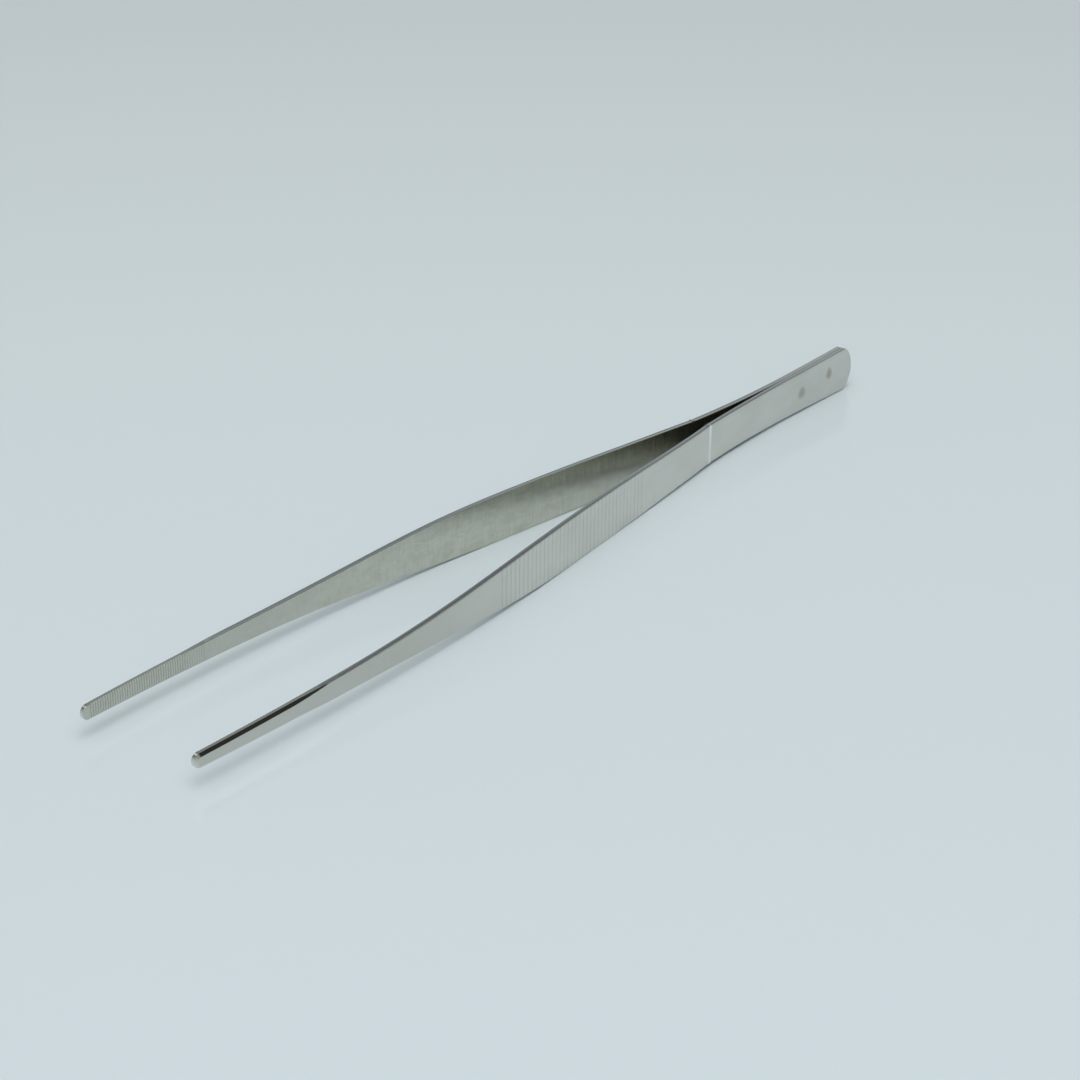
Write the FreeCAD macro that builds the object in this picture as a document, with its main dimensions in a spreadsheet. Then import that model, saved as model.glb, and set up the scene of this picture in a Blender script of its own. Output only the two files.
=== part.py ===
import FreeCAD, Part

import math
import os

import Sketcher

# Print tongs: two long spring leaves of stainless sheet, spot welded face to face at the heel.
#
# Frame: +X runs from the heel to the tips, +Y is the left leaf's side and +Z is up. The tongs lie on the
# long edges of their leaves. A leaf is drawn with its heel end at x = 0 and its lowest edge at z = 0, and its
# pieces are then moved back by half the length, so the origin is under the middle of the tongs.
# A station is a distance from the heel end along X, and an offset is the distance of a leaf's inner face from
# the middle plane. Lengths are in millimetres.
DIMENSIONS = {
    "length": 305,
    "leaf_thickness": 1.6,
    # plan of a leaf's inner face: flat at the heel, curved out to a sharp crease, straight along the grip,
    # then curved back towards the tip
    "contact_end": 32,
    "crease_station": 80,
    "crease_offset": 2,
    "flare_start_station": 97,
    "flare_start_offset": 4.28,
    "flare_end_station": 165,
    "flare_end_offset": 12.35,
    "shoulder_station": 206,
    "shoulder_offset": 16,
    "tip_offset": 17.4,
    # side outline of a leaf
    "heel_width": 13.3,
    "heel_end_radius": 8,
    "heel_corner_radius": 1.6,
    "waist_station": 64,
    "waist_width": 11.5,
    "grip_swell_station": 114,
    "grip_width": 13.6,
    "grip_flat_start": 145,
    "grip_flat_end": 152,
    "taper_station": 209.5,
    "taper_width": 8.8,
    "jaw_station": 257,
    "jaw_width": 5.1,
    "tip_width": 3.8,
    # rounding of the jaw's outer edges, which grows from where the jaw starts to its tip
    "jaw_start_radius": 0.1,
    "jaw_tip_radius": 0.9,
    # grip grooves across the outer face, with starts measured along the leaf
    "groove_start": 120.9,
    "groove_pitch": 2,
    "groove_count": 37,
    "groove_width": 0.5,
    "groove_depth": 0.12,
    # serrations across the jaw's inner face
    "serration_start": 265.6,
    "serration_pitch": 0.8,
    "serration_count": 48,
    "serration_width": 0.6,
    "serration_depth": 0.14,
    # spot welds: the nugget inside the two leaves and the electrode's mark on each outer face,
    # with each rise measured from the middle of the leaf's height
    "rear_weld_station": 12.8,
    "front_weld_station": 28,
    "rear_weld_rise": 1.3,
    "front_weld_rise": -0.4,
    "nugget_radius": 1.5,
    "nugget_reach": 1.1,
    "mark_radius": 1.9,
    "mark_depth": 0.1,
    # where a squeezed leaf has done its bending and turns as one piece
    "bend_end": 116,
}

# Room by which cutters and zone boxes pass the surfaces that they cut, and the same for the small notches,
# which would meet each other further out.
CLEAR = 5
SKIN = 0.02
UP = FreeCAD.Vector(0, 0, 1)
SIDEWAYS = FreeCAD.Vector(0, 1, 0)
PARTS = "parts"

doc = FreeCAD.newDocument("print_tongs")
cells = doc.addObject("Spreadsheet::Sheet", "cells")
for row, (alias, value) in enumerate(DIMENSIONS.items(), start=1):
    cells.set(f"A{row}", alias)
    cells.set(f"B{row}", str(value))
    cells.setAlias(f"B{row}", alias)
doc.recompute()


def size(alias):
    """The value of a cell."""
    return float(cells.get(alias))


def add(kind, name, bindings):
    """A document object whose properties follow the cells."""
    made = doc.addObject(kind, name)
    for prop, expression in bindings.items():
        made.setExpression(prop, expression)
    return made


def combine(kind, name, base, tool):
    """The cut or the overlap of two objects."""
    made = doc.addObject(kind, name)
    made.Base = base
    made.Tool = tool
    return made


def attached_sketch(body, name, plane):
    """An empty sketch on one of the body's own origin planes."""
    sketch = body.newObject("Sketcher::SketchObject", name)
    sketch.AttachmentSupport = [(origin_plane(body, plane), "")]
    sketch.MapMode = "FlatFace"
    return sketch


def origin_plane(body, plane):
    return next(o for o in body.Origin.OriginFeatures if o.Role == plane)


def rule(sketch, kind, *elements):
    sketch.addConstraint(Sketcher.Constraint(kind, *elements))


def bind(sketch, kind, elements, name, expression):
    """A dimension of the sketch that follows the cells."""
    value = float(sketch.evalExpression(expression))
    index = sketch.addConstraint(Sketcher.Constraint(kind, *elements, value))
    sketch.renameConstraint(index, name)
    sketch.setExpression(f"Constraints.{name}", expression)


class Chain:
    """Lines and arcs drawn one after another, each smooth with the one before unless it is told not to be."""

    def __init__(self, sketch, heading=0.0):
        self.sketch = sketch
        self.point = FreeCAD.Vector(0, 0, 0)
        self.heading = heading
        self.last = None

    def join(self, index, ends, smooth):
        """Ties the new piece's first end to the piece before, and gives its index and its far end."""
        if self.last:
            rule(self.sketch, "Tangent" if smooth else "Coincident", *self.last, index, ends[0])
        self.last = (index, ends[1])
        return self.last

    def line(self, x, y, smooth=True):
        target = FreeCAD.Vector(x, y, 0)
        index = self.sketch.addGeometry(Part.LineSegment(self.point, target))
        self.heading = math.atan2(y - self.point.y, x - self.point.x)
        self.point = target
        return self.join(index, (1, 2), smooth)

    def arc(self, x, y, smooth=True, end_heading=None):
        """An arc that leaves along the present heading, or arrives along end_heading where that is given."""
        target = FreeCAD.Vector(x, y, 0)
        chord = target - self.point
        direction = math.atan2(chord.y, chord.x)
        start_heading = self.heading if end_heading is None else 2 * direction - end_heading
        turn = 2 * (direction - start_heading)
        radius = chord.Length / 2 / math.sin(turn / 2)
        left = FreeCAD.Vector(-math.sin(start_heading), math.cos(start_heading), 0)
        centre = self.point + radius * left
        anticlockwise = [self.point, target] if turn > 0 else [target, self.point]
        angles = [math.atan2(p.y - centre.y, p.x - centre.x) for p in anticlockwise]
        circle = Part.Circle(centre, UP, abs(radius))
        index = self.sketch.addGeometry(Part.ArcOfCircle(circle, *angles))
        self.heading = start_heading + turn
        self.point = target
        return self.join(index, (1, 2) if turn > 0 else (2, 1), smooth)


def draw_plan_curve(body):
    """The inner face of a leaf seen from above, as an open line from the heel end to the tip."""
    sketch = attached_sketch(body, "plan_curve", "XY_Plane")
    crease, flare_start, flare_end, shoulder = (
        (size(f"{place}_station"), size(f"{place}_offset"))
        for place in ("crease", "flare_start", "flare_end", "shoulder")
    )
    flare_heading = math.atan2(flare_end[1] - flare_start[1], flare_end[0] - flare_start[0])
    chain = Chain(sketch)
    heel_end = chain.line(size("contact_end"), 0)
    stops = {
        "crease": chain.arc(*crease),
        "flare_start": chain.arc(*flare_start, smooth=False, end_heading=flare_heading),
        "flare_end": chain.line(*flare_end),
        "shoulder": chain.arc(*shoulder),
    }
    tip = chain.arc(size("length"), size("tip_offset"))
    rule(sketch, "Coincident", heel_end[0], 1, -1, 1)
    rule(sketch, "Horizontal", heel_end[0])
    bind(sketch, "DistanceX", (-1, 1, *heel_end), "contact_end", "cells.contact_end")
    for place, far_end in stops.items():
        bind(sketch, "DistanceX", (-1, 1, *far_end), f"{place}_station", f"cells.{place}_station")
        bind(sketch, "DistanceY", (-1, 1, *far_end), f"{place}_offset", f"cells.{place}_offset")
    bind(sketch, "DistanceX", (-1, 1, *tip), "tip_station", "cells.length")
    bind(sketch, "DistanceY", (-1, 1, *tip), "tip_offset", "cells.tip_offset")
    return sketch


def draw_strip_section(body):
    """The strip's cross-section at the heel end: a rectangle with a corner on the plan curve."""
    sketch = attached_sketch(body, "strip_section", "YZ_Plane")
    thickness, width = size("leaf_thickness"), size("grip_width")
    chain = Chain(sketch)
    for x, y in ((thickness, 0), (thickness, width), (0, width), (0, 0)):
        chain.line(x, y, smooth=False)
    rule(sketch, "Coincident", 3, 2, 0, 1)
    rule(sketch, "Coincident", 0, 1, -1, 1)
    for index in range(4):
        rule(sketch, "Vertical" if index % 2 else "Horizontal", index)
    bind(sketch, "DistanceX", (0, 1, 0, 2), "thickness", "cells.leaf_thickness")
    bind(sketch, "DistanceY", (1, 1, 1, 2), "width", "cells.grip_width")
    return sketch


def make_strip():
    """A plain strip as wide as the grip, bent to the leaf's plan, and the curve that it follows."""
    body = doc.addObject("PartDesign::Body", "leaf_strip")
    path = draw_plan_curve(body)
    section = draw_strip_section(body)
    doc.recompute()
    bent = body.newObject("PartDesign::AdditivePipe", "bent_strip")
    bent.Profile = section
    bent.Spine = (path, [f"Edge{number + 1}" for number in range(len(path.Shape.Edges))])
    bent.Transition = "Right corner"
    return body, path


def draw_half_outline(body):
    """The upper half of a leaf's outline seen from the side, closed along its middle line."""
    sketch = attached_sketch(body, "half_outline", "XZ_Plane")
    half = {place: size(f"{place}_width") / 2 for place in ("heel", "waist", "grip", "taper", "jaw", "tip")}
    end_radius = size("heel_end_radius")
    corner_station = end_radius - math.sqrt(end_radius**2 - half["heel"] ** 2)
    chain = Chain(sketch, math.pi / 2)
    heel_end = chain.arc(corner_station / 2, 0.7 * half["heel"])
    heel_corner = chain.arc(corner_station + size("heel_corner_radius") / 2, half["heel"])
    waist = chain.arc(size("waist_station"), half["waist"], end_heading=0)
    swell = chain.arc(size("grip_swell_station"), (half["waist"] + half["grip"]) / 2)
    flat_start = chain.arc(size("grip_flat_start"), half["grip"], end_heading=0)
    flat_end = chain.line(size("grip_flat_end"), half["grip"])
    taper_start = (size("grip_flat_end") + size("taper_station")) / 2
    chain.arc(taper_start, (half["grip"] + half["taper"]) / 2)
    taper = chain.line(size("taper_station"), half["taper"])
    jaw = chain.arc(size("jaw_station"), half["jaw"])
    jaw_end = chain.line(size("length") - half["tip"], half["tip"])
    nose = chain.arc(size("length"), 0, end_heading=-math.pi / 2)
    middle = chain.line(0, 0, smooth=False)

    rule(sketch, "Coincident", heel_end[0], 2, -1, 1)
    rule(sketch, "Coincident", *middle, -1, 1)
    rule(sketch, "Horizontal", middle[0])
    rule(sketch, "Horizontal", flat_end[0])
    rule(sketch, "PointOnObject", heel_end[0], 3, -1)
    rule(sketch, "PointOnObject", nose[0], 3, -1)
    bind(sketch, "Radius", (heel_end[0],), "heel_end_radius", "cells.heel_end_radius")
    bind(sketch, "Radius", (heel_corner[0],), "heel_corner_radius", "cells.heel_corner_radius")
    bind(sketch, "DistanceX", (-1, 1, waist[0], 3), "waist_centre", "cells.waist_station")
    stations = {
        "waist_station": waist,
        "grip_swell_station": swell,
        "grip_flat_start": flat_start,
        "grip_flat_end": flat_end,
        "taper_station": taper,
        "jaw_station": jaw,
        "length": nose,
    }
    for name, far_end in stations.items():
        bind(sketch, "DistanceX", (-1, 1, *far_end), name, f"cells.{name}")
    widths = {"heel": heel_corner, "waist": waist, "grip": flat_start, "taper": taper, "jaw": jaw, "tip": jaw_end}
    for place, far_end in widths.items():
        bind(sketch, "DistanceY", (-1, 1, *far_end), f"{place}_half", f"cells.{place}_width / 2")
    return sketch


def make_side_outline():
    """A block that reaches across the whole leaf and has the leaf's outline seen from the side."""
    body = doc.addObject("PartDesign::Body", "side_outline")
    sketch = draw_half_outline(body)
    upper = body.newObject("PartDesign::Pad", "upper_half")
    upper.Profile = sketch
    upper.SideType = "Symmetric"
    upper.setExpression("Length", f"2 * (cells.tip_offset + {CLEAR})")
    doc.recompute()
    both = body.newObject("PartDesign::Mirrored", "both_halves")
    both.Originals = [upper]
    both.MirrorPlane = (origin_plane(body, "XY_Plane"), [""])
    body.Tip = both
    body.setExpression("Placement.Base.z", "cells.grip_width / 2")
    return body


def round_jaw(leaf):
    """Rounds the outer edges of the jaw, more and more towards the tip."""
    doc.recompute()
    outer_face = size("tip_offset") + size("leaf_thickness") / 2
    edges = []
    for number, edge in enumerate(leaf.Shape.Edges, start=1):
        ends = [vertex.Point for vertex in (edge.firstVertex(), edge.lastVertex())]
        in_jaw = min(p.x for p in ends) > size("jaw_station") - SKIN
        outside = min(p.y for p in ends) > outer_face
        runs_along = abs(ends[0].x - ends[1].x) > SKIN
        if in_jaw and outside and runs_along:
            at_start = [p.x < size("jaw_station") + SKIN for p in ends]
            radii = [size("jaw_start_radius" if start else "jaw_tip_radius") for start in at_start]
            edges.append((number, *radii))
    rounded = doc.addObject("Part::Fillet", "rounded_leaf")
    rounded.Base = leaf
    rounded.Edges = edges
    return rounded


def place_on(wire, distance, offset):
    """The point at a distance along the plan curve, moved to its left by offset, and the heading there."""
    for edge in wire.OrderedEdges:
        if distance <= edge.Length:
            break
        distance -= edge.Length
    backwards = edge.Orientation == "Reversed"
    parameter = edge.getParameterByLength(edge.Length - distance if backwards else distance)
    along = edge.tangentAt(parameter) * (-1 if backwards else 1)
    heading = math.degrees(math.atan2(along.y, along.x))
    return edge.valueAt(parameter) + offset * UP.cross(along), heading


def notch_cutters(name, path, face_offset):
    """V-shaped cutters in a row along a leaf's face that is face_offset outside the plan curve.

    The face is straight at first and then curves, so no pattern feature follows it."""
    start, pitch, width, depth = (size(f"{name}_{what}") for what in ("start", "pitch", "width", "depth"))
    into_leaf = -1 if face_offset else 1
    half_mouth = width / 2 * (1 + SKIN / depth)
    corners = ((0, depth), (half_mouth, -SKIN), (-half_mouth, -SKIN), (0, depth))
    section = Part.Face(Part.makePolygon([FreeCAD.Vector(x, into_leaf * y, 0) for x, y in corners]))
    prism = section.extrude((size("grip_width") + 2 * CLEAR) * UP)
    wire = Part.Wire(Part.sortEdges(path.Shape.Edges)[0])
    cutters = []
    for number in range(int(size(f"{name}_count"))):
        point, heading = place_on(wire, start + number * pitch, face_offset)
        cutter = prism.copy()
        cutter.Placement = FreeCAD.Placement(point - CLEAR * UP, FreeCAD.Rotation(UP, heading))
        cutters.append(cutter)
    made = doc.addObject("Part::Feature", f"{name}_cutters")
    made.Shape = Part.makeCompound(cutters)
    return made


def round_bar(name, place, radius, start, length):
    """A cylinder across the heel at the rear or front weld, from the start offset outwards."""
    made = add(
        "Part::Cylinder",
        name,
        {
            "Radius": f"cells.{radius}",
            "Height": length,
            "Placement.Base.x": f"cells.{place}_weld_station",
            "Placement.Base.y": start,
            "Placement.Base.z": f"cells.grip_width / 2 + cells.{place}_weld_rise",
        },
    )
    made.Placement.Rotation = FreeCAD.Rotation(UP, SIDEWAYS)
    return made


def seat_welds(leaf):
    """Takes the nuggets' room out of the leaf, and presses the electrode's marks into its outer face."""
    for place in ("rear", "front"):
        seat_reach = f"cells.nugget_reach + {CLEAR}"
        seat = round_bar(f"{place}_seat", place, "nugget_radius", f"-{CLEAR}", seat_reach)
        face = "cells.leaf_thickness - cells.mark_depth"
        mark = round_bar(f"{place}_mark", place, "mark_radius", face, f"{CLEAR}")
        leaf = combine("Part::Cut", f"leaf_with_{place}_seat", leaf, seat)
        leaf = combine("Part::Cut", f"leaf_with_{place}_mark", leaf, mark)
    return leaf


def take_zone(leaf, name, start, end):
    """The stretch of the leaf between two stations, as a piece of its own."""
    zone = add(
        "Part::Box",
        f"{name}_zone",
        {
            "Length": f"{end} - ({start})",
            "Width": f"cells.tip_offset + {2 * CLEAR}",
            "Height": f"cells.grip_width + {2 * CLEAR}",
            "Placement.Base.x": start,
        },
    )
    zone.Placement.Base.y = -CLEAR
    zone.Placement.Base.z = -CLEAR
    piece = combine("Part::Common", name, leaf, zone)
    piece.setExpression("Placement.Base.x", "-cells.length / 2")
    return piece


def mirror_piece(piece, name):
    made = doc.addObject("Part::Mirroring", name)
    made.Source = piece
    made.Normal = SIDEWAYS
    return made


def make_nugget(place):
    """A spot weld's nugget: the round of metal melted together across the joint of the two leaves."""
    nugget = round_bar(
        f"{place}_weld_nugget", place, "nugget_radius", "-cells.nugget_reach", "2 * cells.nugget_reach"
    )
    nugget.setExpression("Placement.Base.x", f"cells.{place}_weld_station - cells.length / 2")
    return nugget


def make_leaf():
    """The left leaf, whole."""
    strip, path = make_strip()
    blank = combine("Part::Common", "leaf_blank", strip, make_side_outline())
    leaf = round_jaw(blank)
    grooves = notch_cutters("groove", path, size("leaf_thickness"))
    leaf = combine("Part::Cut", "grooved_leaf", leaf, grooves)
    serrations = notch_cutters("serration", path, 0)
    leaf = combine("Part::Cut", "serrated_leaf", leaf, serrations)
    return seat_welds(leaf)


def make_pieces():
    leaf = make_leaf()
    zones = {
        "heel": (f"-{CLEAR}", "cells.contact_end"),
        "bend": ("cells.contact_end", "cells.bend_end"),
        "arm": ("cells.bend_end", f"cells.length + {CLEAR}"),
    }
    pieces = []
    for zone, (start, end) in zones.items():
        left = take_zone(leaf, f"left_leaf_{zone}", start, end)
        pieces += [left, mirror_piece(left, f"right_leaf_{zone}")]
    pieces += [make_nugget(place) for place in ("rear", "front")]
    doc.recompute()
    return pieces


def check(pieces):
    """Stops if any feature has failed, or if a piece isn't one sound solid."""
    failed = [o.Name for o in doc.Objects if {"Invalid", "Error"} & set(o.State)]
    if failed:
        raise SystemExit(f"failed features: {failed}")
    for piece in pieces:
        if piece.Shape.isNull() or not piece.Shape.isValid() or len(piece.Shape.Solids) != 1:
            raise SystemExit(f"{piece.Label} is not one sound solid")


def export(pieces):
    os.makedirs(PARTS, exist_ok=True)
    for piece in pieces:
        piece.Shape.exportStep(f"{PARTS}/{piece.Label}.step")
        print(f"{piece.Label}: {piece.Shape.Volume:.1f} mm3, {piece.Shape.BoundBox}")


pieces = make_pieces()
check(pieces)
export(pieces)
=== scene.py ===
import math

import bpy
import numpy as np
from mathutils import Matrix, Vector, kdtree


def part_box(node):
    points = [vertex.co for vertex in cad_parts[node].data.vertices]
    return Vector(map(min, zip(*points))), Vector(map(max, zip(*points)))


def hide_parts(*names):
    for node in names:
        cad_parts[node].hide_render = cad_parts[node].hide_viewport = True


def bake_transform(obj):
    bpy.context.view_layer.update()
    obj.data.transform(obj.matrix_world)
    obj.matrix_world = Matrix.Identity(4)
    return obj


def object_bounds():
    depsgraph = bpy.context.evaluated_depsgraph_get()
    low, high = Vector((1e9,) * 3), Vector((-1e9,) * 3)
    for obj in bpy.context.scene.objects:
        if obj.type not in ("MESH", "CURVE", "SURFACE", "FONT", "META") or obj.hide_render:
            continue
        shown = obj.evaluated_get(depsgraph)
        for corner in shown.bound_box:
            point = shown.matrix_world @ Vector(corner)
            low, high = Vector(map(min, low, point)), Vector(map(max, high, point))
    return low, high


# Print tongs lying on a pale glossy table. Each leaf is one strip of stainless sheet, built here as one dense
# mesh that bends between the heel and its arm. It stands for the three stretches that the CAD splits it into.
#
# Lengths are in millimetres until a mesh is made. A station is a distance from the heel end along X, and an
# offset is the distance of a leaf's inner face from the middle plane. The stage is in metres.
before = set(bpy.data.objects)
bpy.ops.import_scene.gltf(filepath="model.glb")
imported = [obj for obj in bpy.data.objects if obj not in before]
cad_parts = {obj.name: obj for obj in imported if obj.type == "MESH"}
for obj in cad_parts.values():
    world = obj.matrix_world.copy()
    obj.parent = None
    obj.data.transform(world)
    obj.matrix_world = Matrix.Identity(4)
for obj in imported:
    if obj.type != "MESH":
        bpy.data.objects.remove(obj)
cad_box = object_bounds()

MM = 0.001
LENGTH = (cad_box[1][0] - cad_box[0][0]) / MM
GRIP_WIDTH = (cad_box[1][2] - cad_box[0][2]) / MM
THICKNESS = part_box("left_leaf_heel")[1].y / MM
HEEL_X = cad_box[0][0] / MM
TABLE_Z = cad_box[0][2] / MM

# Plan of a leaf's inner face, as (station, offset).
CONTACT_END = (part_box("left_leaf_heel")[1].x / MM - HEEL_X, 0)
CREASE = (80, 2)
FLARE_START = (97, 4.28)
FLARE_END = (165, 12.35)
SHOULDER = (206, 16)
TIP = (LENGTH, 17.4)

# Side outline of a leaf. A pair is (station, half of the width there), and GRIP is (start, end, half).
HEEL_RADIUS = 8
HEEL_CORNER = 1.6
HEEL_HALF = 6.65
WAIST = (64, 5.75)
SWELL_STATION = 114
GRIP = (145, 152, GRIP_WIDTH / 2)
TAPER = (209.5, 4.4)
JAW = (257, 2.55)
TIP_HALF = 1.9

# Grooves outside the grip, and serrations inside the jaw.
GROOVE_START, GROOVE_PITCH, GROOVE_COUNT = 120.9, 2, 37
GROOVE_WIDTH, GROOVE_DEPTH = 0.5, 0.12
GROOVE_FADE = 0.6
TOOTH_START, TOOTH_PITCH, TOOTH_COUNT = 265.6, 0.8, 48
TOOTH_WIDTH, TOOTH_DEPTH, TOOTH_FADE = 0.6, 0.14, 8
FIRST_TOOTH_DEPTH = 0.03

# Weld marks, as (station, rise above the middle of the leaf's height), and the dent that each leaves.
WELDS = ((12.8, 1.3), (28, -0.4))
WELD_RADIUS, WELD_DEPTH = 1.9, 0.1
DENT_SPREAD, DENT_POWER = 1.15, 1.5

# The crease's raised line, the edges' roundings, the jaw's long bevel, and half the gap between the leaves.
CREASE_RIDGE, CREASE_SPREAD, CREASE_BURR = 0.1, 0.35, 0.16
HEEL_EDGE, GRIP_EDGE = 0.1, 0.19
JAW_BEVEL_WIDTH, JAW_BEVEL_DEPTH, JAW_BEVEL_POWER = 0.85, 0.54, 1.1
JAW_BEVEL_START, JAW_ONSET = 260.5, 12
INNER_EDGE = 0.08
SEAM = 0.015

# How the mesh is divided.
ARC_POINTS = 160
OUTLINE_SPACING = 0.05
COLUMN_GAP, COLUMN_CLEARANCE = 1.2, 0.35
SMOOTH_END_GAP, END_GAP, MERGE_GAP = 0.004, 0.001, 0.0009
HEEL_EASE = 1.7
HEEL_CORNER_STATIONS = (2.9, 4.2)
WELD_REACH = 2.4
SHARP_ANGLE = 32


def arc(start, end, heading=None, end_heading=None):
    """Points and headings along the arc from start to end, given its heading at one of them."""
    start, end = np.array(start, float), np.array(end, float)
    step = end - start
    chord = math.atan2(step[1], step[0])
    if heading is None:
        heading = 2 * chord - end_heading
    turn = 2 * (chord - heading)
    share = np.linspace(0, 1, ARC_POINTS)
    if abs(turn) < 1e-9:
        return start + share[:, None] * step, np.full(ARC_POINTS, chord)
    radius = np.hypot(*step) / 2 / math.sin(turn / 2)
    centre = start + radius * np.array([-math.sin(heading), math.cos(heading)])
    headings = heading + turn * share
    return centre + radius * np.stack([np.sin(headings), -np.cos(headings)], 1), headings


def leaf_plan():
    """The inner face's points and headings from heel to tip: flat, out to the crease, straight, back in."""
    flare = math.atan2(FLARE_END[1] - FLARE_START[1], FLARE_END[0] - FLARE_START[0])
    flat = arc((-1, 0), CONTACT_END, heading=0)
    spring = arc(CONTACT_END, CREASE, heading=0)
    root = arc(CREASE, FLARE_START, end_heading=flare)
    grip = arc(FLARE_START, FLARE_END, heading=flare)
    bow = arc(FLARE_END, SHOULDER, heading=flare)
    jaw = arc(SHOULDER, TIP, heading=bow[1][-1])
    beyond = TIP[0] + 1, TIP[1] + math.tan(jaw[1][-1])
    end = arc(TIP, beyond, heading=jaw[1][-1])
    stretches = (flat, spring, root, grip, bow, jaw, end)
    return np.concatenate([p for p, _ in stretches]), np.concatenate([h for _, h in stretches])


def leaf_outline():
    """The upper half of a leaf's side outline, from the heel end round to the tip."""
    rise = HEEL_HALF - HEEL_CORNER
    corner_x = HEEL_RADIUS - math.sqrt((HEEL_RADIUS - HEEL_CORNER) ** 2 - rise ** 2)
    meet = math.atan2(rise, corner_x - HEEL_RADIUS)
    end_turn = np.linspace(math.pi, meet, 200)
    end = np.stack([HEEL_RADIUS + HEEL_RADIUS * np.cos(end_turn), HEEL_RADIUS * np.sin(end_turn)], 1)
    corner_turn = np.linspace(meet, math.pi / 2, 60)
    corner_z = rise + HEEL_CORNER * np.sin(corner_turn)
    corner = np.stack([corner_x + HEEL_CORNER * np.cos(corner_turn), corner_z], 1)
    grip_start, grip_end, grip_half = GRIP
    share = (SWELL_STATION - WAIST[0]) / (grip_start - WAIST[0])
    swell = (SWELL_STATION, WAIST[1] + share * (grip_half - WAIST[1]))
    waist = arc((corner_x, HEEL_HALF), WAIST, end_heading=0)
    swell_in = arc(WAIST, swell, heading=0)
    swell_out = arc(swell, (grip_start, grip_half), heading=swell_in[1][-1])
    tip_x = LENGTH - TIP_HALF
    jaw_slope = math.atan2(TIP_HALF - JAW[1], tip_x - JAW[0])
    taper = arc(TAPER, JAW, end_heading=jaw_slope)
    slope = math.tan(taper[1][0])
    apex = TAPER[0] + (grip_half - TAPER[1]) / slope
    tangent = apex - grip_end
    leave = (apex + tangent * math.cos(taper[1][0]), grip_half + tangent * math.sin(taper[1][0]))
    shoulder = arc((grip_end, grip_half), leave, heading=0)
    jaw = arc(JAW, (tip_x, TIP_HALF), heading=jaw_slope)
    nose_turn = np.linspace(math.pi / 2, 0, 120)
    nose = np.stack([tip_x + TIP_HALF * np.cos(nose_turn), TIP_HALF * np.sin(nose_turn)], 1)
    runs = (end, corner, waist[0], swell_in[0], swell_out[0], shoulder[0], taper[0], jaw[0], nose)
    return np.concatenate(runs)


def evenly(points, spacing):
    """Points at about the given spacing along a polyline."""
    gaps = np.hypot(*np.diff(points, axis=0).T)
    travel = np.concatenate([[0], np.cumsum(gaps)])
    places = np.linspace(0, travel[-1], int(travel[-1] / spacing) + 1)
    return np.stack([np.interp(places, travel, points[:, i]) for i in (0, 1)], 1)


PLAN, HEADINGS = leaf_plan()
TRAVEL = np.concatenate([[0], np.cumsum(np.hypot(*np.diff(PLAN, axis=0).T))])
TRAVEL -= np.interp(0, PLAN[:, 0], TRAVEL)
OUTER = PLAN + THICKNESS * np.stack([-np.sin(HEADINGS), np.cos(HEADINGS)], 1)
OUTLINE = leaf_outline()


def outer_station(travel):
    """The station on the outer face above a place given by its distance along the inner face."""
    return np.interp(travel, TRAVEL, OUTER[:, 0])


def inner_station(travel):
    """The station on the inner face at a distance along it."""
    return np.interp(travel, TRAVEL, PLAN[:, 0])


def stations():
    """Where the leaf's mesh has a column, closer together where the shape is finer."""
    ease = np.linspace(0, math.pi / 2, 26)[1:]
    heel = HEEL_RADIUS * (1 - np.cos(ease / HEEL_EASE)) + SMOOTH_END_GAP
    nose = LENGTH - SMOOTH_END_GAP - TIP_HALF * (1 - np.cos(ease))
    grooves = outer_station(GROOVE_START + GROOVE_PITCH * np.arange(GROOVE_COUNT))
    across_groove = GROOVE_WIDTH * np.array([-0.6, -0.5, -0.25, 0, 0.25, 0.5, 0.6])
    groove_columns = (grooves[:, None] + across_groove).ravel()
    teeth = inner_station(TOOTH_START + TOOTH_PITCH * np.arange(TOOTH_COUNT))
    across_tooth = TOOTH_WIDTH * np.array([-0.5, -0.25, 0, 0.25, 0.5])
    tooth_columns = (teeth[:, None] + across_tooth).ravel()
    welds = (np.array(WELDS)[:, :1] + np.linspace(-WELD_REACH, WELD_REACH, 17)).ravel()
    crease = CREASE[0] + CREASE_SPREAD * np.linspace(-3, 3, 19)
    corner = np.linspace(*HEEL_CORNER_STATIONS, 14)
    jaw_onset = JAW_BEVEL_START + np.linspace(0, JAW_ONSET, 16) ** 2 / JAW_ONSET
    plain = np.arange(COLUMN_GAP, LENGTH - 1, COLUMN_GAP)
    fine = np.concatenate([heel, corner, nose, groove_columns, tooth_columns, welds, crease, jaw_onset])
    plain = plain[np.abs(plain[:, None] - fine).min(1) > COLUMN_CLEARANCE]
    places = np.unique(np.round(np.concatenate([fine, plain, [END_GAP, LENGTH - END_GAP]]), 4))
    return places[np.concatenate([[True], np.diff(places) > MERGE_GAP])]


def near(places, centres, width):
    """How far into the notch around the nearest centre each place is: 1 in its middle and 0 outside it."""
    gap = np.abs(places[:, None] - centres).min(1)
    return np.clip(1 - 2 * gap / width, 0, 1)


def rounding(distance, radius):
    """How far a round edge lies under the face, at a distance in from the outline."""
    share = np.clip(1 - distance / radius, 0, 1)
    return radius * (1 - np.sqrt(1 - share ** 2))


def jaw_bevel(places, distance):
    """How far the jaw's long hollow bevel lies under the outer face. It grows out of the edge."""
    grown = np.clip((places - JAW_BEVEL_START) / JAW_ONSET, 0, 1)[:, None] ** 0.6
    share = np.clip(grown - distance / JAW_BEVEL_WIDTH, 0, 1)
    return JAW_BEVEL_DEPTH * share ** JAW_BEVEL_POWER


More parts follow.
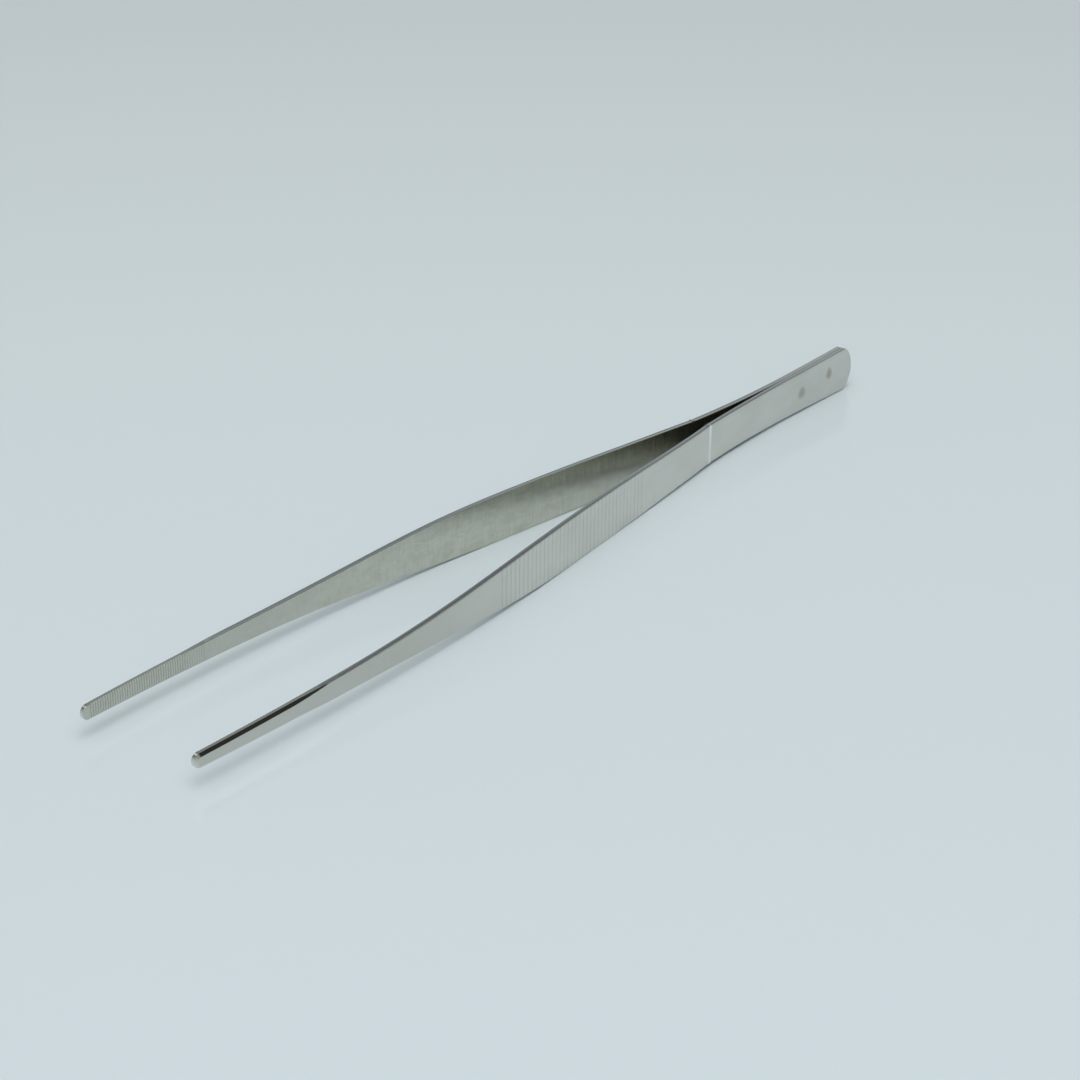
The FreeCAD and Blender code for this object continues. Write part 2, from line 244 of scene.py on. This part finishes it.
def rows(half, edge, steps):
    """Heights of a column's points, from lower to upper rim, close together across the edges."""
    turn = np.linspace(0, math.pi / 2, steps + 1)
    round_insets = np.minimum(edge, 0.3 * half)[:, None] * (1 - np.cos(turn))
    bevel_share = np.linspace(0, 1, 10)[1:]
    bevel_end = np.minimum(JAW_BEVEL_WIDTH, 0.75 * half)[:, None]
    bevel_insets = round_insets[:, -1:] + (bevel_end - round_insets[:, -1:]) * bevel_share
    insets = np.concatenate([round_insets, bevel_insets], 1)
    inner = (half - insets[:, -1])[:, None] * np.linspace(-1, 1, 20)[1:-1]
    upper = half[:, None] - insets
    return np.concatenate([-upper, inner, upper[:, ::-1]], 1)


def distance_in(places, heights):
    """How far each point of the side view lies in from the leaf's outline."""
    curve = evenly(OUTLINE, OUTLINE_SPACING)
    tree = kdtree.KDTree(len(curve))
    for index, (x, z) in enumerate(curve):
        tree.insert((x, 0, z), index)
    tree.balance()
    points = np.stack([np.broadcast_to(places[:, None], heights.shape), np.abs(heights)], 2).reshape(-1, 2)
    nearest = np.array([tree.find((x, 0, z))[1] for x, z in points])
    gaps = []
    for first in (np.clip(nearest - 1, 0, len(curve) - 2), np.clip(nearest, 0, len(curve) - 2)):
        start, step = curve[first], curve[first + 1] - curve[first]
        share = np.clip(((points - start) * step).sum(1) / (step ** 2).sum(1), 0, 1)
        gaps.append(np.hypot(*(points - start - share[:, None] * step).T))
    return np.minimum(*gaps).reshape(heights.shape)


def leaf_grids():
    """The outer and the inner face as grids of (station, offset, height), each with its strip coordinates."""
    places = stations()
    crease = np.exp(-(((places - CREASE[0]) / CREASE_SPREAD) ** 2))
    half = np.interp(places, OUTLINE[:, 0], OUTLINE[:, 1]) + CREASE_BURR * crease
    edge = np.interp(places, (CREASE[0], SWELL_STATION), (HEEL_EDGE, GRIP_EDGE))

    heights = rows(half, edge, 5)
    face = np.interp(places, OUTER[:, 0], OUTER[:, 1]) + CREASE_RIDGE * crease
    grooves = outer_station(GROOVE_START + GROOVE_PITCH * np.arange(GROOVE_COUNT))
    inset = distance_in(places, heights)
    cut = GROOVE_DEPTH * near(places, grooves, GROOVE_WIDTH)[:, None] * np.clip(inset / GROOVE_FADE, 0, 1)
    outer = face[:, None] - cut - np.maximum(rounding(inset, edge[:, None]), jaw_bevel(places, inset))
    for station, rise in WELDS:
        reach = np.hypot(places[:, None] - station, heights - rise) / (WELD_RADIUS * DENT_SPREAD)
        outer = outer - WELD_DEPTH * np.clip(1 - reach ** 2, 0, 1) ** DENT_POWER
    outer_grid = np.stack([np.broadcast_to(places[:, None], heights.shape), outer, heights], 2)

    inner_heights = rows(half, np.full(len(places), INNER_EDGE), 1)
    teeth = inner_station(TOOTH_START + TOOTH_PITCH * np.arange(TOOTH_COUNT))
    fade = (TOOTH_START, TOOTH_START + TOOTH_FADE)
    tooth_depth = np.interp(places, fade, (FIRST_TOOTH_DEPTH, TOOTH_DEPTH))
    face = np.interp(places, PLAN[:, 0], PLAN[:, 1]) + SEAM + tooth_depth * near(places, teeth, TOOTH_WIDTH)
    inner = face[:, None] + rounding(distance_in(places, inner_heights), INNER_EDGE)
    inner_grid = np.stack([np.broadcast_to(places[:, None], inner_heights.shape), inner, inner_heights], 2)
    return outer_grid, inner_grid


def make_leaf(name, side, outer_grid, inner_grid):
    """A leaf's mesh: rings round the strip, closed at both ends. side is 1 left and -1 right."""
    ring = np.concatenate([outer_grid, inner_grid[:, ::-1]], 1)
    columns, around, _ = ring.shape
    travel = np.interp(ring[..., 0], PLAN[:, 0], TRAVEL)
    through = np.concatenate([np.ones(outer_grid.shape[:2]), np.zeros(inner_grid.shape[:2])], 1)
    strip = np.stack([travel, through, ring[..., 2]], 2)

    points = ring * np.array([1, side, 1]) + np.array([HEEL_X, 0, TABLE_Z + GRIP_WIDTH / 2])
    index = np.arange(columns * around).reshape(columns, around)
    following = np.roll(index, -1, axis=1)
    walls = np.stack([index[:-1], index[1:], following[1:], following[:-1]], 2).reshape(-1, 4)
    rows_on_a_face = around // 2
    lower = np.arange(rows_on_a_face - 1)
    caps = []
    for column, turned in ((0, False), (columns - 1, True)):
        loop = index[column]
        cap = np.stack([loop[lower], loop[lower + 1], loop[around - 2 - lower], loop[around - 1 - lower]], 1)
        caps.append(cap[:, ::-1] if turned else cap)
    faces = np.concatenate([walls, *caps])
    if side > 0:
        faces = faces[:, ::-1]

    mesh = bpy.data.meshes.new(name)
    mesh.from_pydata((points.reshape(-1, 3) * MM).tolist(), [], faces.tolist())
    attribute = mesh.attributes.new("strip", "FLOAT_VECTOR", "POINT")
    attribute.data.foreach_set("vector", strip.reshape(-1).astype(np.float32))
    mesh.shade_smooth()
    mesh.set_sharp_from_angle(angle=math.radians(SHARP_ANGLE))
    mesh.update()
    leaf = bpy.data.objects.new(name, mesh)
    bpy.context.scene.collection.objects.link(leaf)
    return leaf


class Finish:
    """A metal's node tree, with short calls for the nodes that it is made of."""

    def __init__(self, name):
        self.material = bpy.data.materials.new(name)
        self.material.use_nodes = True
        self.tree = self.material.node_tree
        self.shader = self.tree.nodes["Principled BSDF"]

    def node(self, kind, **settings):
        """A new node with the given settings."""
        made = self.tree.nodes.new(kind)
        for key, value in settings.items():
            setattr(made, key, value)
        return made

    def feed(self, socket, value):
        """Links a socket to another, or sets it to a plain value."""
        if isinstance(value, bpy.types.NodeSocket):
            self.tree.links.new(value, socket)
        else:
            socket.default_value = value

    def math(self, operation, first, second=0.0):
        """One sum on two numbers, or on the first alone."""
        made = self.node("ShaderNodeMath", operation=operation)
        self.feed(made.inputs[0], first)
        self.feed(made.inputs[1], second)
        return made.outputs[0]

    def span(self, value, low, high, out_low=0.0, out_high=1.0, smooth=False):
        """value from low to high, mapped to out_low to out_high and held there beyond."""
        made = self.node("ShaderNodeMapRange", interpolation_type="SMOOTHSTEP" if smooth else "LINEAR")
        for socket, number in zip(made.inputs, (value, low, high, out_low, out_high)):
            self.feed(socket, number)
        return made.outputs[0]

    def mix(self, share, first, second):
        """A colour between two colours."""
        made = self.node("ShaderNodeMix", data_type="RGBA")
        self.feed(made.inputs[0], share)
        for socket, colour in ((made.inputs[6], first), (made.inputs[7], second)):
            self.feed(socket, (*colour, 1) if isinstance(colour, tuple) else colour)
        return made.outputs[2]

    def blend(self, share, first, second):
        """A number between two numbers."""
        made = self.node("ShaderNodeMix", data_type="FLOAT")
        for socket, number in zip((made.inputs[0], made.inputs[2], made.inputs[3]), (share, first, second)):
            self.feed(socket, number)
        return made.outputs[0]

    def strip(self):
        """The strip coordinates: mm along the leaf, 0 inside to 1 outside, and mm up from its middle."""
        return self.node("ShaderNodeAttribute", attribute_name="strip").outputs["Vector"]

    def parts(self, vector):
        """A vector's three numbers."""
        made = self.node("ShaderNodeSeparateXYZ")
        self.feed(made.inputs[0], vector)
        return made.outputs

    def noise(self, vector, stretch, detail=3.0, roughness=0.55, distortion=0.0):
        """Noise whose features are about 1/stretch mm long each way."""
        placed = self.node("ShaderNodeMapping")
        self.feed(placed.inputs["Vector"], vector)
        placed.inputs["Scale"].default_value = stretch
        made = self.node("ShaderNodeTexNoise")
        self.feed(made.inputs["Vector"], placed.outputs[0])
        made.inputs["Scale"].default_value = 1
        made.inputs["Detail"].default_value = detail
        made.inputs["Roughness"].default_value = roughness
        made.inputs["Distortion"].default_value = distortion
        return made.outputs["Fac"]

    def bump(self, height, distance, strength=1.0):
        """The surface normal, tilted by a height."""
        made = self.node("ShaderNodeBump")
        made.inputs["Strength"].default_value = strength
        made.inputs["Distance"].default_value = distance
        self.feed(made.inputs["Height"], height)
        return made.outputs[0]


# Colours of the steel. Rims are the cut edges of the sheet.
SATIN_DULL, SATIN_BRIGHT = (0.665, 0.665, 0.615), (0.715, 0.715, 0.665)
JAW_STEEL = (0.60, 0.59, 0.54)
BRUSHED_DULL, BRUSHED_BRIGHT, BRUSHED_STAIN = (0.54, 0.55, 0.475), (0.69, 0.70, 0.62), (0.46, 0.42, 0.35)
JAW_BRUSHED = (0.535, 0.53, 0.475)
# Painted shade of the narrow gap between the leaves, on the inner face towards the heel.
HEEL_GAP_SHADE = (0.54, 0.535, 0.475)
# Painted reflections on the cut edges: lighter on the inner side, darker on the outer side, pale at the heel
# and in the jaw.
RIM_INNER_REFLECTION, RIM_OUTER_REFLECTION, HEEL_RIM_REFLECTION = (0.60, 0.64, 0.69), (0.35, 0.375, 0.41), (0.80, 0.83, 0.85)
JAW_RIM_REFLECTION = (0.66, 0.70, 0.70)
# After the specks, painted shade for the roots of the grooves and of the teeth.
SPECK, GROOVE_SHADE, TOOTH_SHADE = (0.33, 0.33, 0.30), (0.36, 0.36, 0.33), (0.34, 0.34, 0.31)
# First a painted highlight for the crease, then the weld stain.
CREASE_HIGHLIGHT, WELD_STAIN = (0.98, 0.99, 1.0), (0.41, 0.37, 0.31)
WELD_DARK, WELD_PALE = (0.33, 0.32, 0.29), (0.47, 0.46, 0.43)

# Distances along the leaf between which one finish, painted shade or painted reflection passes into another.
JAW_STEEL_SPAN, JAW_BRUSHED_SPAN, HEEL_GAP_SHADE_SPAN = (175, 240), (190, 250), (160, 70)
HEEL_RIM_REFLECTION_SPAN, KEEN_SPAN = (60, 15), (90, 160)

# Roughness, as (least, most) or as one value, and the part of a noise's range that it is spread over.
SATIN_ROUGHNESS, BRUSHED_ROUGHNESS, RIM_ROUGHNESS = (0.26, 0.34), (0.17, 0.27), (0.16, 0.26)
JAW_ROUGHNESS, STAIN_ROUGHNESS, WELD_ROUGHNESS = 0.12, 0.42, (0.45, 0.65)
NOISE_SPAN = (0.3, 0.7)

# Depth in metres of the grain and of the welds' pits.
GRAIN_DEPTH, PIT_DEPTH = 0.00002, 0.00003
CREASE_TRAVEL = float(np.interp(CREASE[0], PLAN[:, 0], TRAVEL))


def notch_lines(finish, along, start, pitch, count, halves):
    """1 along the roots of a row of notches, 0 between them, as the mask of the painted shade there. halves
    says where it ends and is full.
    """
    first = start - pitch / 2
    turn = finish.math("DIVIDE", finish.math("SUBTRACT", along, first), pitch)
    gap = finish.math("ABSOLUTE", finish.math("SUBTRACT", finish.math("FRACT", turn), 0.5))
    lines = finish.span(gap, *halves, smooth=True)
    ranged = finish.math("MULTIPLY", finish.math("GREATER_THAN", along, first),
                         finish.math("LESS_THAN", along, first + count * pitch))
    return finish.math("MULTIPLY", lines, ranged)


def leaf_steel():
    """Satin stainless sheet: fine grain outside, cross brushed inside, ground edges, tinted at the welds.
    Painted: reflections on the edges, shade in the grooves, teeth and inner heel, a highlight on the crease.
    """
    finish = Finish("leaf_steel")
    strip = finish.strip()
    along, through, height = finish.parts(strip)
    outside = finish.span(through, 0.96, 1)
    inside = finish.span(through, 0.04, 0)
    edge = finish.math("SUBTRACT", 1.0, finish.math("MAXIMUM", outside, inside))

    clouds = finish.noise(strip, (0.05, 1.3, 0.12), detail=4)
    grain = finish.noise(strip, (1.2, 3, 9), detail=5, roughness=0.7)
    brush = finish.noise(strip, (1.9, 3, 0.13), detail=5, roughness=0.6)
    mottle = finish.noise(strip, (0.16, 5, 0.34), detail=5, roughness=0.72, distortion=0.8)
    speck = finish.noise(strip, (2.2, 5, 2.2), detail=5, roughness=0.65)
    edge_grind = finish.noise(strip, (7, 0.2, 1), detail=4, roughness=0.6)

    satin = finish.mix(finish.span(clouds, 0.35, 0.65), SATIN_DULL, SATIN_BRIGHT)
    satin = finish.mix(finish.span(along, *JAW_STEEL_SPAN, smooth=True), satin, JAW_STEEL)
    jaw = finish.math("MULTIPLY", finish.span(along, JAW[0] - 20, JAW[0] + 10, smooth=True), outside)
    brushed = finish.mix(finish.span(brush, *NOISE_SPAN), BRUSHED_DULL, BRUSHED_BRIGHT)
    brushed = finish.mix(finish.span(mottle, 0.43, 0.62, 0, 0.42), brushed, BRUSHED_STAIN)
    # Painted shade of the narrow gap between the leaves: the inner face darker towards the heel.
    brushed = finish.mix(finish.span(along, *HEEL_GAP_SHADE_SPAN, 0, 0.75, smooth=True), brushed, HEEL_GAP_SHADE)
    brushed = finish.mix(finish.span(along, *JAW_BRUSHED_SPAN, 0, 0.6, smooth=True), brushed, JAW_BRUSHED)
    colour = finish.mix(inside, satin, brushed)
    # Painted reflections on the cut edges: lighter inside, darker outside, pale towards the heel and in the
    # jaw.
    rim_reflection = finish.mix(finish.span(through, 0.15, 0.9), RIM_INNER_REFLECTION, RIM_OUTER_REFLECTION)
    rim_reflection = finish.mix(finish.span(along, *HEEL_RIM_REFLECTION_SPAN, 0, 0.8), rim_reflection, HEEL_RIM_REFLECTION)
    rim_reflection = finish.mix(finish.span(along, JAW[0], JAW[0] + 15), rim_reflection, JAW_RIM_REFLECTION)
    colour = finish.mix(edge, colour, rim_reflection)
    colour = finish.mix(finish.span(speck, 0.63, 0.78, 0, 0.22), colour, SPECK)

    # Painted shade along the groove roots, patchy, on the outer face only.
    grooves = notch_lines(finish, along, GROOVE_START, GROOVE_PITCH, GROOVE_COUNT, (0.16, 0.07))
    patchy = finish.span(finish.noise(strip, (0.35, 1, 0.1)), 0.35, 0.6, 0.55, 1)
    grooves = finish.math("MULTIPLY", finish.math("MULTIPLY", grooves, patchy), outside)
    colour = finish.mix(finish.math("MULTIPLY", grooves, 0.5), colour, GROOVE_SHADE)
    # Painted shade along the roots of the teeth, on the inner face.
    teeth = notch_lines(finish, along, TOOTH_START, TOOTH_PITCH, TOOTH_COUNT, (0.34, 0.1))
    inner_half = finish.span(through, 0.45, 0.1)
    teeth = finish.math("MULTIPLY", teeth, inner_half)
    colour = finish.mix(finish.math("MULTIPLY", teeth, 0.28), colour, TOOTH_SHADE)

    # Painted highlight along the crease on the outer face, brighter towards the upper edge.
    lift = finish.span(height, -1, 5.5, 0.62, 1.0)
    from_crease = finish.math("ABSOLUTE", finish.math("SUBTRACT", along, CREASE_TRAVEL))
    crease_highlight = finish.span(from_crease, 0.95, 0.35, smooth=True)
    crease_highlight = finish.math("MULTIPLY", finish.math("MULTIPLY", crease_highlight, finish.span(through, 0.4, 0.9)), lift)
    colour = finish.mix(crease_highlight, colour, CREASE_HIGHLIGHT)

    satin_roughness = finish.span(grain, *NOISE_SPAN, *SATIN_ROUGHNESS)
    brush_roughness = finish.span(brush, *NOISE_SPAN, *BRUSHED_ROUGHNESS)
    roughness = finish.blend(inside, satin_roughness, brush_roughness)
    roughness = finish.blend(jaw, roughness, JAW_ROUGHNESS)
    rim_roughness = finish.span(edge_grind, *NOISE_SPAN, *RIM_ROUGHNESS)
    roughness = finish.blend(edge, roughness, rim_roughness)

    for station, rise in WELDS:
        lean = finish.span(height, -2.5, 2.5, 0.75, 1.35)
        offset = finish.math("MULTIPLY", finish.math("SUBTRACT", along, station), lean)
        over = finish.math("SUBTRACT", height, rise)
        wobble = finish.noise(strip, (0.6, 1, 0.6), detail=2)
        reach = finish.math("ADD", finish.math("MULTIPLY", offset, finish.math("MULTIPLY", offset, 0.27)),
                            finish.math("MULTIPLY", over, finish.math("MULTIPLY", over, 0.28)))
        reach = finish.math("ADD", reach, finish.math("MULTIPLY", wobble, 0.7))
        stain = finish.math("MULTIPLY", finish.span(reach, 1.95, 0.3, smooth=True), outside)
        colour = finish.mix(finish.math("MULTIPLY", stain, 0.68), colour, WELD_STAIN)
        roughness = finish.blend(stain, roughness, STAIN_ROUGHNESS)

    keen = finish.math("MULTIPLY", brush, finish.span(along, *KEEN_SPAN, 0.3, 0.8))
    texture = finish.blend(inside, finish.math("MULTIPLY", grain, 0.3), keen)
    finish.feed(finish.shader.inputs["Base Color"], colour)
    finish.feed(finish.shader.inputs["Roughness"], roughness)
    finish.shader.inputs["Metallic"].default_value = 1
    finish.feed(finish.shader.inputs["Normal"], finish.bump(texture, GRAIN_DEPTH, 0.3))
    return finish.material


def weld_metal():
    """The welds' own metal, dull and slightly pitted."""
    finish = Finish("weld_metal")
    place = finish.node("ShaderNodeTexCoord").outputs["Object"]
    pits = finish.noise(place, (1500, 1500, 1500), detail=4)
    finish.feed(finish.shader.inputs["Base Color"], finish.mix(pits, WELD_DARK, WELD_PALE))
    finish.feed(finish.shader.inputs["Roughness"], finish.span(pits, *NOISE_SPAN, *WELD_ROUGHNESS))
    finish.shader.inputs["Metallic"].default_value = 1
    finish.feed(finish.shader.inputs["Normal"], finish.bump(pits, PIT_DEPTH))
    return finish.material


# The stage, in metres and degrees.
CAMERA_AZIMUTH, CAMERA_ELEVATION, CAMERA_ROLL = 37.66, 24.8, 0.47
CAMERA_DISTANCE, CAMERA_LENS = 0.7029, 88.33
CAMERA_TARGET = Vector((0.00988, 0.00567, 0.0068))

# Brightness of the room by the sine of the elevation, its tint, and where its dark side lies. DARK_SPAN is in
# cosines from there: where it starts and is full, then the strength at each. The camera sees only BACKDROP.
ROOM_STOPS = ((0.0, 0.62), (0.13, 0.58), (0.2, 0.42), (0.36, 0.46), (0.5, 0.26), (0.65, 0.15), (1.0, 0.15))
ROOM_TINT = (0.945, 1, 0.965)
DARK_SIDE = (131, 16)
DARK_SPAN = (0.89, 0.965, 1.0, 0.09)
BACKDROP = (0.56, 0.63, 0.66, 1)

TABLE_SIZE, TABLE_GAP, TABLE_ROUGHNESS = 20.0, 0.00002, 0.12
TABLE_DULL, TABLE_PALE = (0.662, 0.745, 0.777), (0.672, 0.753, 0.783)
TABLE_FADE = (0.6, 2.2)

# Lights, as name, azimuth, elevation, distance, size, watts and colour.
LIGHTS = (
    ("overhead", 50, 76, 2.5, (1.5, 1.5), 16.7, (1.0, 1.0, 1.02)),
    ("ceiling", 50, 84, 3.0, (5.0, 5.0), 66.5, (1.0, 1.0, 1.02)),
    ("fill", 40, 42, 2.5, (2.2, 2.2), 12, (1.0, 1.0, 1.0)),
)


def make_floor():
    """A pale glossy table top under the tongs, which fades into the backdrop far from them."""
    finish = Finish("table")
    mesh = bpy.data.meshes.new("table")
    height = TABLE_Z * MM - TABLE_GAP
    signs = ((-1, -1), (1, -1), (1, 1), (-1, 1))
    corners = [(x * TABLE_SIZE, y * TABLE_SIZE, height) for x, y in signs]
    mesh.from_pydata(corners, [], [(0, 1, 2, 3)])
    floor = bpy.data.objects.new("table", mesh)
    bpy.context.scene.collection.objects.link(floor)
    place = finish.node("ShaderNodeTexCoord").outputs["Object"]
    drift = finish.noise(place, (1.6, 1.6, 1.6), detail=1)
    finish.feed(finish.shader.inputs["Base Color"], finish.mix(drift, TABLE_DULL, TABLE_PALE))
    finish.shader.inputs["Roughness"].default_value = TABLE_ROUGHNESS
    reach = finish.node("ShaderNodeVectorMath", operation="LENGTH")
    finish.feed(reach.inputs[0], place)
    far = finish.node("ShaderNodeEmission")
    far.inputs["Color"].default_value = BACKDROP
    fade = finish.node("ShaderNodeMixShader")
    finish.feed(fade.inputs[0], finish.span(reach.outputs["Value"], *TABLE_FADE, smooth=True))
    finish.feed(fade.inputs[1], finish.shader.outputs[0])
    finish.feed(fade.inputs[2], far.outputs[0])
    finish.feed(finish.tree.nodes["Material Output"].inputs["Surface"], fade.outputs[0])
    mesh.materials.append(finish.material)


def toward(azimuth, elevation):
    """The direction at an azimuth from +X and an elevation, both in degrees."""
    turn, lift = math.radians(azimuth), math.radians(elevation)
    return Vector((math.cos(lift) * math.cos(turn), math.cos(lift) * math.sin(turn), math.sin(lift)))


def aimed(position, target, roll=0.0):
    """The matrix of a camera or light at position that looks at target."""
    turn = (position - target).to_track_quat("Z", "Y").to_matrix().to_4x4()
    return Matrix.Translation(position) @ turn @ Matrix.Rotation(math.radians(roll), 4, "Z")


def make_camera():
    """The camera at the photograph's viewing angle."""
    data = bpy.data.cameras.new("camera")
    data.lens = CAMERA_LENS
    data.sensor_width = 36
    data.clip_start = 0.01
    camera = bpy.data.objects.new("camera", data)
    bpy.context.scene.collection.objects.link(camera)
    position = CAMERA_TARGET + CAMERA_DISTANCE * toward(CAMERA_AZIMUTH, CAMERA_ELEVATION)
    camera.matrix_world = aimed(position, CAMERA_TARGET, CAMERA_ROLL)
    bpy.context.scene.camera = camera


def make_light(name, azimuth, elevation, distance, size, power, colour):
    """A rectangular light that looks at the middle of the tongs."""
    data = bpy.data.lights.new(name, "AREA")
    data.shape = "RECTANGLE"
    data.size, data.size_y = size
    data.energy = power
    data.color = colour
    light = bpy.data.objects.new(name, data)
    bpy.context.scene.collection.objects.link(light)
    light.matrix_world = aimed(distance * toward(azimuth, elevation), Vector((0, 0, 0)))


def make_room():
    """What the steel mirrors: grey, darker upwards and to one side. The camera sees a plain backdrop."""
    world = bpy.data.worlds.new("room")
    bpy.context.scene.world = world
    world.use_nodes = True
    tree = world.node_tree
    direction = tree.nodes.new("ShaderNodeTexCoord").outputs["Generated"]
    split = tree.nodes.new("ShaderNodeSeparateXYZ")
    tree.links.new(direction, split.inputs[0])
    lift = tree.nodes.new("ShaderNodeValToRGB")
    tree.links.new(split.outputs["Z"], lift.inputs[0])
    while len(lift.color_ramp.elements) < len(ROOM_STOPS):
        lift.color_ramp.elements.new(0.5)
    for element, (place, grey) in zip(lift.color_ramp.elements, ROOM_STOPS):
        element.position = place
        element.color = (*(grey * tint for tint in ROOM_TINT), 1)
    facing = tree.nodes.new("ShaderNodeVectorMath")
    facing.operation = "DOT_PRODUCT"
    tree.links.new(direction, facing.inputs[0])
    facing.inputs[1].default_value = toward(*DARK_SIDE)
    shade = tree.nodes.new("ShaderNodeMapRange")
    for socket, number in zip(list(shade.inputs)[1:5], DARK_SPAN):
        socket.default_value = number
    tree.links.new(facing.outputs["Value"], shade.inputs[0])
    background = tree.nodes["Background"]
    tree.links.new(lift.outputs[0], background.inputs["Color"])
    tree.links.new(shade.outputs[0], background.inputs["Strength"])
    backdrop = tree.nodes.new("ShaderNodeBackground")
    backdrop.inputs["Color"].default_value = BACKDROP
    seen = tree.nodes.new("ShaderNodeMixShader")
    tree.links.new(tree.nodes.new("ShaderNodeLightPath").outputs["Is Camera Ray"], seen.inputs[0])
    tree.links.new(background.outputs[0], seen.inputs[1])
    tree.links.new(backdrop.outputs[0], seen.inputs[2])
    tree.links.new(seen.outputs[0], tree.nodes["World Output"].inputs["Surface"])


make_camera()
make_room()
make_floor()
for light_facts in LIGHTS:
    make_light(*light_facts)

steel = leaf_steel()
outer_grid, inner_grid = leaf_grids()
for side_name, side in (("left", 1), ("right", -1)):
    leaf = make_leaf(f"{side_name}_leaf", side, outer_grid, inner_grid)
    leaf.data.materials.append(steel)
    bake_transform(leaf)
    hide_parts(*[f"{side_name}_leaf_{stretch}" for stretch in ("heel", "bend", "arm")])

weld = weld_metal()
for node in ("rear_weld_nugget", "front_weld_nugget"):
    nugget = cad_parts[node]
    nugget.data.materials.clear()
    nugget.data.materials.append(weld)

bpy.context.scene.view_settings.view_transform = "Standard"
